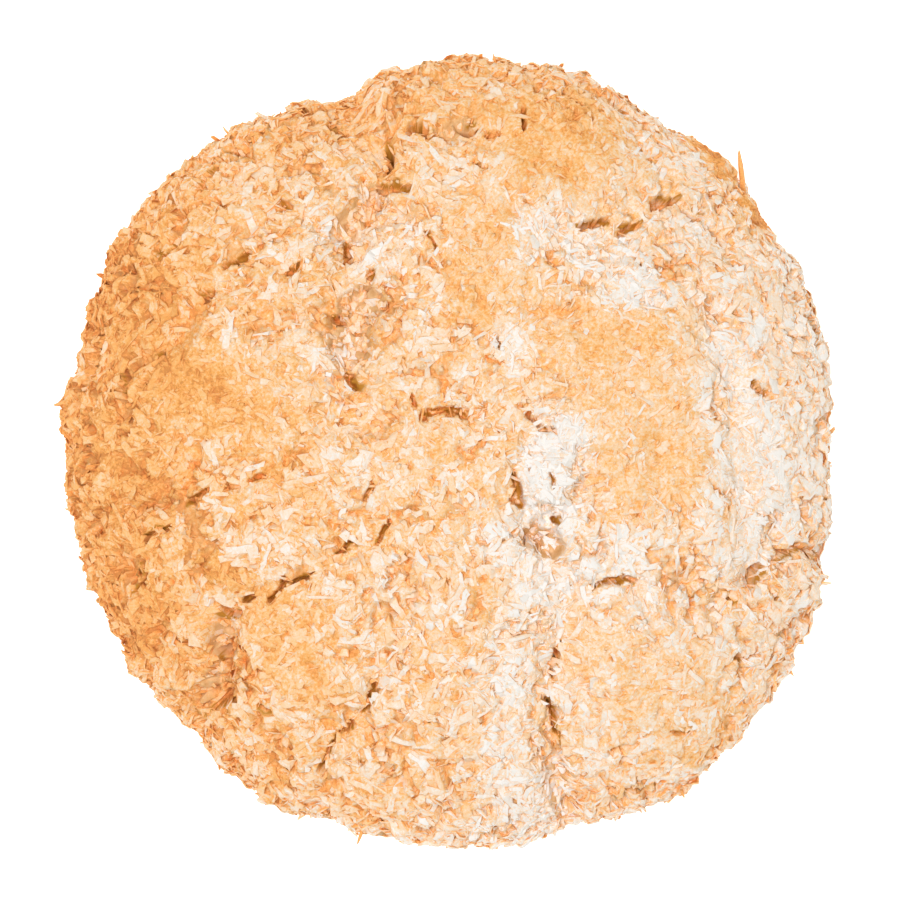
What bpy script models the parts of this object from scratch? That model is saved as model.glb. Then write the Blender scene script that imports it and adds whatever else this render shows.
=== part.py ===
"""A coconut cookie: a domed, cracked round of baked dough with its largest coconut shreds fused to it.

The cookie lies on its flat base at z = 0, with +Z up through the crown. It is one piece, so it is one solid.
Lists are in millimetres, and MM turns them into Blender's metres.
"""

import math
import random

import bmesh
import bpy
import numpy as np
from mathutils import Matrix, Vector, noise

MM = 0.001

# The dome, from its base to its crown.
CROWN_HEIGHT = 18.5
WAIST_HEIGHT = 2.6  # the widest ring lies this far above the base
FOOT_INSET = 1.2  # the side tucks in by this much below the widest ring
DOME_POWER = 2.8  # 2 is an ellipse, and more gives a flatter top and a steeper side

# The widest ring seen from above, anticlockwise from +X.
OUTLINE = [
    (42, 0), (42.3, 6), (41.6, 11), (39.9, 17.2), (37.5, 21.3), (35, 26), (31.5, 31.3), (26.5, 35),
    (24.6, 35.2), (20.8, 38.2), (14.8, 41.1), (7, 42.8), (0, 42.8), (-5, 41.9), (-8.6, 41.4), (-11, 39),
    (-15, 38), (-20.8, 36.5), (-27, 32.8), (-32, 28.5), (-37.3, 21.5), (-39, 15.2), (-40.5, 9.7),
    (-42.6, 5.2), (-41.5, 0), (-42.2, -3), (-40.8, -6), (-40.2, -10.5), (-38, -17), (-35.2, -22),
    (-31.3, -26.7), (-26.7, -30.6), (-25.3, -34.2), (-20.6, -37.7), (-14.2, -39.8), (-8.6, -41.9),
    (-4, -43.1), (5, -42.8), (11, -41.6), (17, -40.3), (24.2, -38.3), (28.7, -34.6), (34.3, -29.3),
    (37.6, -22.8), (40.6, -16), (42.3, -9.5),
]

OUTLINE_ROUNDING = math.radians(3)  # its corners are rounded over this much to each side
ROUNDING_SAMPLES = 9
PROFILE_STEPS = 400  # to each quarter turn of the side's curve

# Smooth raised islands of the crust: x, y, radius, height.
ISLANDS = [
    (12, 33, 9, 0.6), (-24, 6, 9, 0.7), (20, 7, 10, 0.8), (25, -7, 7, 0.5),
    (-15, -21, 8, 0.6), (1, -3, 8, 0.5), (25, -25, 9, 0.6), (-1, 39, 6, 0.6),
    (4, 18, 6, 0.5), (-20, 21, 7, 0.4), (11.5, -3.2, 3.4, 1.0), (-36, -2, 5, 0.6),
    (-1, -22, 8, 0.4), (36, 6, 5, 0.6), (38, -14, 4, 0.7), (-4, -35, 6, 0.5),
]

ISLAND_EDGE = (0.55, 1.25)  # the shares of its radius between which an island falls away

# Broad valleys where the crust tore apart as it spread: half width, depth, points along the floor.
VALLEYS = [
    (2.6, 1.5, [(-12.5, 42), (-11, 36.5), (-6.8, 32), (-7.5, 28), (-10.5, 23.5), (-11, 18),
                (-10.3, 13.5), (-10.5, 8.5), (-9, 4)]),
    (1.6, 0.8, [(-4, 34.8), (1, 33.8), (7, 34)]),
    (2.6, 1.1, [(12, 24), (17, 23), (20.5, 24), (24, 27), (29, 25.5), (33, 22)]),
    (2.2, 1.0, [(29.5, 15), (31, 9), (32, 3), (32.5, -3), (32.5, -9), (33, -14)]),
    (1.6, 1.1, [(45, -10.5), (38.5, -11), (34.5, -13), (30, -16.5), (24, -17.5), (19, -14), (15.5, -15)]),
    (1.5, 0.8, [(-26, -17), (-21, -15.6), (-14.5, -12.8), (-9, -9.8), (-6.6, -8)]),
    (1.8, 1.3, [(-24, -18.5), (-24.6, -22.5), (-24.6, -25.5), (-26, -28)]),
    (1.5, 0.9, [(-7.7, -25.5), (-10, -29), (-12.7, -32.5), (-13.3, -37), (-13.5, -43)]),
    (2.4, 1.4, [(9.5, -8), (12.5, -14), (13, -19), (11.3, -25), (11.8, -30), (13, -36), (13.3, -40)]),
    (1.2, 0.8, [(-43, 0.5), (-38, -1.5), (-35, -1.8)]),
    (1.4, 0.6, [(-43, 9), (-35.3, 9), (-31.5, 10.5), (-26.5, 17), (-22.5, 21.5), (-16, 20)]),
]

# Cracks: half width, depth, points along the crack.
CRACKS = [
    # The torn valley from the rim at the top down to the middle of the crust.
    (0.8, 1.2, [(-13.2, 36.2), (-11.2, 35.4)]),
    (1.2, 2.6, [(-6.3, 33.6), (-6.1, 31.6)]),
    (1.2, 1.6, [(-6.6, 29.2), (-3.9, 28.8)]),
    (1.5, 1.5, [(-8, 28), (-9.6, 26), (-11, 24.6)]),
    (0.8, 2.2, [(-10.8, 22.8), (-10.7, 20.6)]),
    (1.1, 1.7, [(-8.1, 19.8), (-8.4, 19)]),
    (0.6, 1.3, [(-2.3, 24), (-1, 22.7)]),
    (2.0, 1.9, [(-9.1, 16.3), (-10.3, 14), (-10.6, 11.4)]),
    (0.9, 1.8, [(-12.2, 15), (-11.4, 14.2)]),
    (0.8, 1.8, [(-11, 8.8), (-9.6, 7)]),
    # Round the browned lump at the top.
    (1.0, 2.0, [(-3.8, 35.5), (-2.2, 35.2)]),
    (1.3, 1.2, [(0.4, 34.8), (1.8, 35.2)]),
    (0.6, 1.8, [(2, 35.2), (3.2, 35.6)]),
    (0.5, 1.3, [(4.6, 34.8), (6.1, 34.6)]),
    (0.7, 2.0, [(8.4, 35.4), (8.7, 37.6)]),
    (0.5, 1.2, [(3, 31.2), (4.6, 30.8)]),
    # The valley at the upper right.
    (1.0, 1.9, [(14.6, 24.9), (16.2, 25.4), (17.6, 25)]),
    (1.0, 2.0, [(19.4, 24.4), (21.2, 25.2)]),
    (1.0, 2.0, [(23, 27.6), (25.8, 28)]),
    (0.7, 1.5, [(26.6, 26.8), (28.2, 25.8)]),
    (0.7, 1.5, [(20.9, 21), (22.2, 20)]),
    # The fold at the right, and the crack that runs in from the rim below it.
    (0.9, 1.4, [(33.6, 7.6), (34.6, 6.4)]),
    (1.0, 1.4, [(36.8, 14), (38, 12.8)]),
    (0.8, 2.0, [(43, -11.6), (38.6, -10.4), (36.2, -11.6)]),
    (1.2, 2.8, [(34.8, -12.8), (33.6, -14.4)]),
    (0.5, 1.4, [(35.2, -14.8), (36.3, -15.5)]),
    (0.8, 1.6, [(32.1, -15.8), (31, -16.7)]),
    (0.8, 1.2, [(31.6, -22.6), (34.4, -22.3)]),
    (0.7, 1.0, [(24.6, -30.3), (27, -30.1)]),
    (0.7, 1.2, [(20.6, -36.2), (22.4, -36.2)]),
    # The longest crack, at the lower left, which shreds bridge in places.
    (0.8, 1.6, [(-24.6, -17.2), (-22.8, -17.7)]),
    (1.2, 2.2, [(-22, -15.9), (-21.3, -15.7)]),
    (0.6, 2.8, [(-19.5, -16), (-18, -14.8), (-17.6, -14.1), (-16.5, -14.5), (-16.2, -13.9), (-14.3, -13.3)]),
    (0.5, 2.4, [(-12.1, -11.2), (-11.4, -10.8), (-10.8, -10), (-9.9, -9.8)]),
    (0.7, 2.0, [(-7.5, -9.6), (-6.8, -8.2), (-6.4, -7.6)]),
    # Where it turns down towards the rim.
    (1.4, 1.2, [(-24.2, -19.6), (-24.6, -21.4)]),
    (0.9, 2.0, [(-24.8, -22.3), (-24.4, -23)]),
    (1.5, 1.2, [(-25.3, -24.6), (-26.2, -26.6)]),
    (0.8, 2.0, [(-26.2, -28.6), (-24.4, -27.6), (-22.9, -26.9)]),
    (0.5, 1.6, [(-21.2, -27.6), (-19, -28.5)]),
    (0.6, 2.0, [(-7.6, -25.6), (-8.4, -26.8), (-9.1, -28.6)]),
    (0.6, 1.8, [(-10.4, -30), (-12, -31), (-12.8, -32.5), (-13.5, -34.7)]),
    # The middle of the crust, and round the white lump.
    (0.6, 2.0, [(-3.7, 6), (-3.1, 5.1)]),
    (0.8, 1.8, [(-2.4, 4), (-2.1, 3.8)]),
    (0.6, 1.8, [(-1.7, 4.3), (0.1, 4.7), (1.1, 4.6), (2.3, 3.7)]),
    (0.5, 1.4, [(5.5, 2.4), (5.8, 2.3)]),
    (0.6, 1.6, [(8, 5.3), (8.6, 4.8)]),
    (0.7, 2.0, [(9.4, 4.1), (10, 3.2)]),
    (0.7, 1.8, [(10.4, 2.6), (12.2, 2.1)]),
    (0.7, 1.8, [(7.1, -2), (7.7, -3.7), (7.6, -5.3), (8.2, -6)]),
    (0.6, 1.4, [(11.7, -2.9), (11.9, -3.4)]),
    (0.8, 1.8, [(12, -7.2), (12.4, -7.8)]),
    (1.4, 1.8, [(9.8, -9.3), (11.4, -10.2)]),
    (0.7, 1.8, [(16, -14.9), (18, -13.6), (20.3, -13.9)]),
    (0.7, 2.0, [(12.4, -21), (11.4, -24.6)]),
    (0.7, 2.0, [(11, -26.6), (12.5, -31.6)]),
    (1.4, 1.6, [(12.4, -34.5), (12, -37), (13.5, -40)]),
    # Small ones in the left half.
    (0.7, 1.5, [(-8.3, -3.3), (-8.2, -5)]),
    (0.6, 1.0, [(5.4, 12.4), (5.9, 11)]),
    (1.0, 1.3, [(-18, 27.6), (-17.2, 26.6)]),
    (0.6, 1.6, [(-27, 16.8), (-25.4, 17.9)]),
    (0.7, 1.6, [(-24, 20.3), (-21.4, 21.6)]),
    (0.6, 1.6, [(-32, 21), (-29.8, 22.6)]),
    (0.6, 1.4, [(-27, 29), (-25.4, 31), (-24.8, 32.8)]),
    (0.9, 1.6, [(-31.4, 10.6), (-30.6, 10)]),
    (0.6, 1.5, [(-35.2, 9), (-34.8, 6.4)]),
    (0.8, 1.8, [(-28, -5.4), (-26, -4.1)]),
    (0.8, 1.8, [(-33, -9.8), (-31.8, -8.4), (-30.4, -8)]),
    (0.6, 1.5, [(-33, -12), (-33.3, -14.4), (-34.4, -15.4)]),
    (0.5, 1.3, [(-21.6, -2.9), (-19.6, -2.5)]),
    (0.7, 1.3, [(-17.5, 19.5), (-15.4, 20.6)]),
]
SOFT_LUMPS = [(9.0, 0.45), (4.2, 0.35)]  # wavelength and height of the crust's unevenness
NOISE_GAIN = 1.6  # brings the unevenness to about -1 to 1
CRACK_WANDER = 0.55  # how far the edge of a crack strays from its line
CRACK_STEP = 1.8  # and over what length it does so
CRACK_SHIFTS = (40.0, 80.0)  # where the unevenness is read for its straying in x and in y
TEAR_AT_FOOT = 0.35  # share of its depth that a valley or crack keeps at the foot of the side
TEAR_FADE = (3.0, 11.0)  # the heights between which it grows to its full depth

# The mesh of the body, before the shreds are fused to it.
RINGS = 84
BODY_TRIANGLES = 4600
BASE_TOLERANCE = 0.05  # points this near to the base are set on it

# The largest shreds of coconut.
SHREDS = 165
COVERED = 0.965  # they lie on this share of the way from the crown to the edge of the base
SHRED_LENGTH = (2.6, 3.9)
SHRED_WIDTH = (0.8, 1.8)
SHRED_THICKNESS = 0.6
SHRED_RISE = 0.16  # a shred's middle plane lies this far above the crust
SHRED_TILT = math.radians(9)
SHRED_BEND = 0.35
SHRED_END = 0.65  # width of a shred's ends, as a share of its width
SHRED_CLEARANCE = 1.0  # no shred's end comes nearer to the base than this
SHRED_SEED = 11
GOLDEN_ANGLE = math.pi * (3 - math.sqrt(5))

CRUST_COLOUR = (0.80, 0.50, 0.23, 1.0)
CRUST_ROUGHNESS = 0.75


def smoothstep(low, high, value):
    """0 below low, 1 above high, and a smooth rise between them."""
    t = np.clip((value - low) / (high - low), 0, 1)
    return t * t * (3 - 2 * t)


def outline_radius(angle):
    """Radius of the widest ring at each angle, running smoothly through the points of OUTLINE."""
    x, y = np.array(OUTLINE).T
    corner_angle = np.arctan2(y, x) % (2 * np.pi)
    place = np.mod(angle, 2 * np.pi)
    spread = np.linspace(-1, 1, ROUNDING_SAMPLES) * OUTLINE_ROUNDING
    return sum(np.interp(place + s, corner_angle, np.hypot(x, y), period=2 * np.pi) for s in spread) / len(spread)


def side_profile():
    """The dome's outline seen from the side, crown to base, evenly spaced: share of the radius, height, arc share."""
    turn = np.linspace(0, np.pi / 2, PROFILE_STEPS)
    radius = np.sin(turn) ** (2 / DOME_POWER)
    height = WAIST_HEIGHT + (CROWN_HEIGHT - WAIST_HEIGHT) * np.cos(turn)
    mean_radius = np.mean(np.linalg.norm(OUTLINE, axis=1))
    foot = 1 - FOOT_INSET / mean_radius * (1 - np.cos(turn[1:]))
    radius = np.concatenate([radius, foot])
    height = np.concatenate([height, WAIST_HEIGHT * (1 - np.sin(turn[1:]))])
    arc = np.concatenate([[0], np.cumsum(np.hypot(np.diff(radius * mean_radius), np.diff(height)))])
    return radius, height, arc / arc[-1]


def dome_points(angle, arc_share):
    """Points on the smooth dome, before any relief, with the outward direction at each."""
    radius, height, arc = side_profile()
    share = np.interp(arc_share, arc, radius)
    rim = outline_radius(angle)
    points = np.stack([share * rim * np.cos(angle), share * rim * np.sin(angle), np.interp(arc_share, arc, height)], -1)
    step = 1 / len(arc)
    wider = np.interp(arc_share + step, arc, radius) - np.interp(arc_share - step, arc, radius)
    lower = np.interp(arc_share + step, arc, height) - np.interp(arc_share - step, arc, height)
    out = np.stack([-lower * np.cos(angle), -lower * np.sin(angle), wider * rim], -1)
    return points, out / np.linalg.norm(out, axis=-1, keepdims=True)


def distance_to_line(spots, line):
    """Distance in plan from each spot to a line of points."""
    nearest = np.full(len(spots), np.inf)
    for start, end in zip(line[:-1], line[1:]):
        start, run = np.array(start, float), np.subtract(end, start)
        along = np.clip((spots - start) @ run / (run @ run), 0, 1)
        nearest = np.minimum(nearest, np.linalg.norm(spots - start - along[:, None] * run, axis=1))
    return nearest


def soft_noise(points, wavelength):
    """Smooth unevenness from about -1 to 1 over a wavelength."""
    return np.array([noise.noise(Vector(p) / wavelength) for p in points]) * NOISE_GAIN


def lumps(points):
    """The raised islands of the crust and its softer unevenness."""
    height = np.zeros(len(points))
    for x, y, radius, rise in ISLANDS:
        away = np.hypot(points[:, 0] - x, points[:, 1] - y) / radius
        height += rise * (1 - smoothstep(*ISLAND_EDGE, away))
    for wavelength, rise in SOFT_LUMPS:
        height += rise * soft_noise(points, wavelength)
    return height


def tears(points):
    """Depth of the valleys and cracks, which run out down the side."""
    spots = points[:, :2]
    stray = CRACK_WANDER * np.stack([soft_noise(points + shift, CRACK_STEP) for shift in CRACK_SHIFTS], -1)
    depth = np.zeros(len(points))
    for half_width, deepest, line in VALLEYS:
        depth += deepest * np.exp(-((distance_to_line(spots, line) / half_width) ** 2))
    for half_width, deepest, line in CRACKS:
        depth += deepest * np.exp(-((distance_to_line(spots + stray, line) / half_width) ** 4))
    return depth * (TEAR_AT_FOOT + (1 - TEAR_AT_FOOT) * smoothstep(*TEAR_FADE, points[:, 2]))


def relief(points):
    """How far the crust stands out from the smooth dome at each point. The edge of the base stays as it is."""
    return (lumps(points) - tears(points)) * smoothstep(0.0, WAIST_HEIGHT, points[:, 2])


def crust_points(angle, arc_share):
    """Points on the finished crust, in millimetres, with the smooth dome's outward direction at each."""
    points, out = dome_points(angle, arc_share)
    return points + out * relief(points)[:, None], out


def ring_grid(rings):
    """Angles and arc shares of a disc of rings, ring k with 6k points, and its triangles."""
    angles, shares, triangles = [0.0], [0.0], []
    for ring in range(1, rings + 1):
        first, count = len(angles), 6 * ring
        inner_first, inner_count = first - max(1, count - 6), count - 6
        angles += [2 * math.pi * k / count for k in range(count)]
        shares += [ring / rings] * count
        for k in range(count):
            sector, place = divmod(k, ring)
            here, after = first + k, first + (k + 1) % count
            if ring == 1:
                triangles.append((here, after, 0))
                continue
            inner = inner_first + (sector * (ring - 1) + place) % inner_count
            triangles.append((here, after, inner))
            if place < ring - 1:
                inner_after = inner_first + (sector * (ring - 1) + place + 1) % inner_count
                triangles.append((after, inner_after, inner))
    return np.array(angles), np.array(shares), triangles


def make_material(name, colour, roughness):
    material = bpy.data.materials.new(name)
    material.use_nodes = True
    shader = material.node_tree.nodes["Principled BSDF"]
    shader.inputs["Base Color"].default_value = colour
    shader.inputs["Roughness"].default_value = roughness
    shader.inputs["Metallic"].default_value = 0.0
    return material


def link_object(name, mesh, collection):
    obj = bpy.data.objects.new(name, mesh)
    collection.objects.link(obj)
    return obj


def apply_modifiers(obj):
    """Replaces the object's mesh with what its modifiers make of it."""
    graph = bpy.context.evaluated_depsgraph_get()
    mesh = bpy.data.meshes.new_from_object(obj.evaluated_get(graph))
    obj.modifiers.clear()
    obj.data = mesh


def make_body(collection):
    """The dough and its crust as one closed mesh on a flat base."""
    angles, shares, triangles = ring_grid(RINGS)
    points, _ = crust_points(angles, shares)
    rim = list(range(len(angles) - 6 * RINGS, len(angles)))
    mesh = bpy.data.meshes.new("cookie")
    mesh.from_pydata((points * MM).tolist(), [], triangles + [rim[::-1]])
    body = link_object("cookie", mesh, collection)
    thin = body.modifiers.new("thin_out", "DECIMATE")
    thin.ratio = BODY_TRIANGLES / (len(triangles) + len(rim))
    thin.use_collapse_triangulate = True
    apply_modifiers(body)
    for vertex in body.data.vertices:
        if abs(vertex.co.z) < BASE_TOLERANCE * MM:
            vertex.co.z = 0.0
    return body


def shred_places():
    """The largest shreds, spread evenly over the crust by the golden angle: frame, length, width and bend of each."""
    draw = random.Random(SHRED_SEED)
    radius, _, arc = side_profile()
    area = np.concatenate([[0], np.cumsum((radius[1:] + radius[:-1]) / 2 * np.diff(arc))])
    shares = np.interp((np.arange(SHREDS) + 0.5) / SHREDS, area / area[-1], arc) * COVERED
    angles = np.arange(SHREDS) * GOLDEN_ANGLE
    points, out = crust_points(angles, shares)
    places = []
    for point, normal in zip(points, out):
        up = Vector(normal)
        turn = up.to_track_quat("Z", "X").to_matrix().to_4x4()
        turn @= Matrix.Rotation(draw.uniform(0, 2 * math.pi), 4, "Z")
        turn @= Matrix.Rotation(draw.uniform(-SHRED_TILT, SHRED_TILT), 4, "Y")
        turn @= Matrix.Rotation(draw.uniform(-SHRED_TILT, SHRED_TILT), 4, "X")
        frame = Matrix.Translation(Vector(point) + up * SHRED_RISE) @ turn
        length, width = draw.uniform(*SHRED_LENGTH), draw.uniform(*SHRED_WIDTH)
        bend = draw.uniform(-SHRED_BEND, SHRED_BEND)
        lowest_end = min((frame @ Vector((end, 0, 0))).z for end in (-length / 2, length / 2))
        if lowest_end > SHRED_CLEARANCE:
            places.append((frame, length, width, bend))
    return places


def make_shred(name, frame, length, width, bend, collection):
    """One shred: a thin strip with tapered ends, bent across its middle."""
    half, edge, skin = length / 2, width / 2, SHRED_THICKNESS / 2
    stations = [(-half, SHRED_END, -bend / 2), (0.0, 1.0, bend / 2), (half, SHRED_END, -bend / 2)]
    corners = [(-edge, -skin), (edge, -skin), (edge, skin), (-edge, skin)]
    verts = [frame @ Vector((x, y * share, z + lift)) * MM for x, share, lift in stations for y, z in corners]
    faces = [(3, 2, 1, 0), (8, 9, 10, 11)]
    for start in (0, 4):
        for k in range(4):
            after = (k + 1) % 4
            faces.append((start + k, start + after, start + 4 + after, start + 4 + k))
    mesh = bpy.data.meshes.new(name)
    mesh.from_pydata(verts, [], faces)
    return link_object(name, mesh, collection)


def fuse_shreds(body):
    """Joins the largest shreds to the body with one Boolean union."""
    shreds = bpy.data.collections.new("shreds")
    bpy.context.scene.collection.children.link(shreds)
    for index, place in enumerate(shred_places()):
        make_shred(f"shred_{index:03d}", *place, shreds)
    union = body.modifiers.new("fuse_shreds", "BOOLEAN")
    union.operation = "UNION"
    union.operand_type = "COLLECTION"
    union.collection = shreds
    union.solver = "MANIFOLD"
    apply_modifiers(body)
    for shred in list(shreds.objects):
        bpy.data.objects.remove(shred)
    bpy.data.collections.remove(shreds)


def keep_outer_skin(body):
    """Drops every closed skin but the largest: the walls of sealed hollows, and loose scraps."""
    mesh = bmesh.new()
    mesh.from_mesh(body.data)
    unseen = set(mesh.verts)
    skins = []
    while unseen:
        skin, edge = set(), [unseen.pop()]
        while edge:
            vertex = edge.pop()
            skin.add(vertex)
            near = {link.other_vert(vertex) for link in vertex.link_edges} & unseen
            unseen -= near
            edge.extend(near)
        skins.append(skin)
    skins.sort(key=len)
    for skin in skins[:-1]:
        bmesh.ops.delete(mesh, geom=list(skin), context="VERTS")
    bmesh.ops.triangulate(mesh, faces=mesh.faces[:])
    mesh.to_mesh(body.data)
    mesh.free()


def main():
    for obj in list(bpy.data.objects):
        bpy.data.objects.remove(obj)
    body = make_body(bpy.context.scene.collection)
    fuse_shreds(body)
    keep_outer_skin(body)
    body.data.materials.clear()
    body.data.materials.append(make_material("crust", CRUST_COLOUR, CRUST_ROUGHNESS))


main()
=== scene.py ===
"""The looks of a coconut cookie: its baked dough, and the shreds, chips and crumbs of coconut all over it.

The cookie lies on its flat base at z = 0, with +Z up through the crown. Lists and functions are in
millimetres, and MM turns them into Blender's metres.
"""

import math
from types import SimpleNamespace

import bmesh
import bpy
import numpy as np
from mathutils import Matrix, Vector, noise


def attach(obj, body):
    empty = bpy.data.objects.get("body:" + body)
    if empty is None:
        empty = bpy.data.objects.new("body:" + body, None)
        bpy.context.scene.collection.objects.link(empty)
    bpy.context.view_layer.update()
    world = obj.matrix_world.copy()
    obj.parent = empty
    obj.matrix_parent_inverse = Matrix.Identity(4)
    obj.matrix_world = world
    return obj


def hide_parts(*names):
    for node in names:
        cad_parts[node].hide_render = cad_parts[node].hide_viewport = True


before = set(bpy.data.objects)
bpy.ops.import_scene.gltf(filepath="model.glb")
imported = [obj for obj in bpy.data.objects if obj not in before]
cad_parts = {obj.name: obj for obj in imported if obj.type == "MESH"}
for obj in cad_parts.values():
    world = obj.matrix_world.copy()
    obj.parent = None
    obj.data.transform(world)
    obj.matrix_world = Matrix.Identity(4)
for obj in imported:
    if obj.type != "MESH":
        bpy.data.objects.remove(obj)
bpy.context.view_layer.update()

MM = 0.001
BODY = "root"
NODE = "cookie"

# The dome, from its base to its crown, as in the solid.
CROWN_HEIGHT = 18.5
WAIST_HEIGHT = 2.6  # the widest ring lies this far above the base
FOOT_INSET = 1.2  # the side tucks in by this much below the widest ring
DOME_POWER = 2.8  # 2 is an ellipse, and more gives a flatter top and a steeper side

# The widest ring seen from above, anticlockwise from +X.
OUTLINE = [
    (42, 0), (42.3, 6), (41.6, 11), (39.9, 17.2), (37.5, 21.3), (35, 26), (31.5, 31.3), (26.5, 35),
    (24.6, 35.2), (20.8, 38.2), (14.8, 41.1), (7, 42.8), (0, 42.8), (-5, 41.9), (-8.6, 41.4), (-11, 39),
    (-15, 38), (-20.8, 36.5), (-27, 32.8), (-32, 28.5), (-37.3, 21.5), (-39, 15.2), (-40.5, 9.7),
    (-42.6, 5.2), (-41.5, 0), (-42.2, -3), (-40.8, -6), (-40.2, -10.5), (-38, -17), (-35.2, -22),
    (-31.3, -26.7), (-26.7, -30.6), (-25.3, -34.2), (-20.6, -37.7), (-14.2, -39.8), (-8.6, -41.9),
    (-4, -43.1), (5, -42.8), (11, -41.6), (17, -40.3), (24.2, -38.3), (28.7, -34.6), (34.3, -29.3),
    (37.6, -22.8), (40.6, -16), (42.3, -9.5),
]
MEAN_RADIUS = np.linalg.norm(OUTLINE, axis=1).mean()
OUTLINE_ROUNDING = math.radians(3)  # to each side of a corner
ROUNDING_SAMPLES = 9
PROFILE_STEPS = 400  # to each quarter turn of the side's curve
SEARCH_STEPS = 160  # the same, to find the nearest point of the crust

# Smooth raised islands of the crust: x, y, radius, height.
ISLANDS = [
    (12, 33, 9, 0.6), (-24, 6, 9, 0.7), (20, 7, 10, 0.8), (25, -7, 7, 0.5),
    (-15, -21, 8, 0.6), (1, -3, 8, 0.5), (25, -25, 9, 0.6), (-1, 39, 6, 0.6),
    (4, 18, 6, 0.5), (-20, 21, 7, 0.4), (11.5, -3.2, 3.4, 1.0), (-36, -2, 5, 0.6),
    (-1, -22, 8, 0.4), (36, 6, 5, 0.6), (38, -14, 4, 0.7), (-4, -35, 6, 0.5),
]
ISLAND_EDGE = (0.55, 1.25)  # the shares of the radius over which one falls away

# Broad valleys where the crust tore apart as it spread: half width, depth, points along the floor.
VALLEYS = [
    (2.6, 1.5, [(-12.5, 42), (-11, 36.5), (-6.8, 32), (-7.5, 28), (-10.5, 23.5), (-11, 18),
                (-10.3, 13.5), (-10.5, 8.5), (-9, 4)]),
    (1.6, 0.8, [(-4, 34.8), (1, 33.8), (7, 34)]),
    (2.6, 1.1, [(12, 24), (17, 23), (20.5, 24), (24, 27), (29, 25.5), (33, 22)]),
    (2.2, 1.0, [(29.5, 15), (31, 9), (32, 3), (32.5, -3), (32.5, -9), (33, -14)]),
    (1.6, 1.1, [(45, -10.5), (38.5, -11), (34.5, -13), (30, -16.5), (24, -17.5), (19, -14), (15.5, -15)]),
    (1.5, 0.8, [(-26, -17), (-21, -15.6), (-14.5, -12.8), (-9, -9.8), (-6.6, -8)]),
    (1.8, 1.3, [(-24, -18.5), (-24.6, -22.5), (-24.6, -25.5), (-26, -28)]),
    (1.5, 0.9, [(-7.7, -25.5), (-10, -29), (-12.7, -32.5), (-13.3, -37), (-13.5, -43)]),
    (2.4, 1.4, [(9.5, -8), (12.5, -14), (13, -19), (11.3, -25), (11.8, -30), (13, -36), (13.3, -40)]),
    (1.2, 0.8, [(-43, 0.5), (-38, -1.5), (-35, -1.8)]),
    (1.4, 0.6, [(-43, 9), (-35.3, 9), (-31.5, 10.5), (-26.5, 17), (-22.5, 21.5), (-16, 20)]),
]

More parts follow.
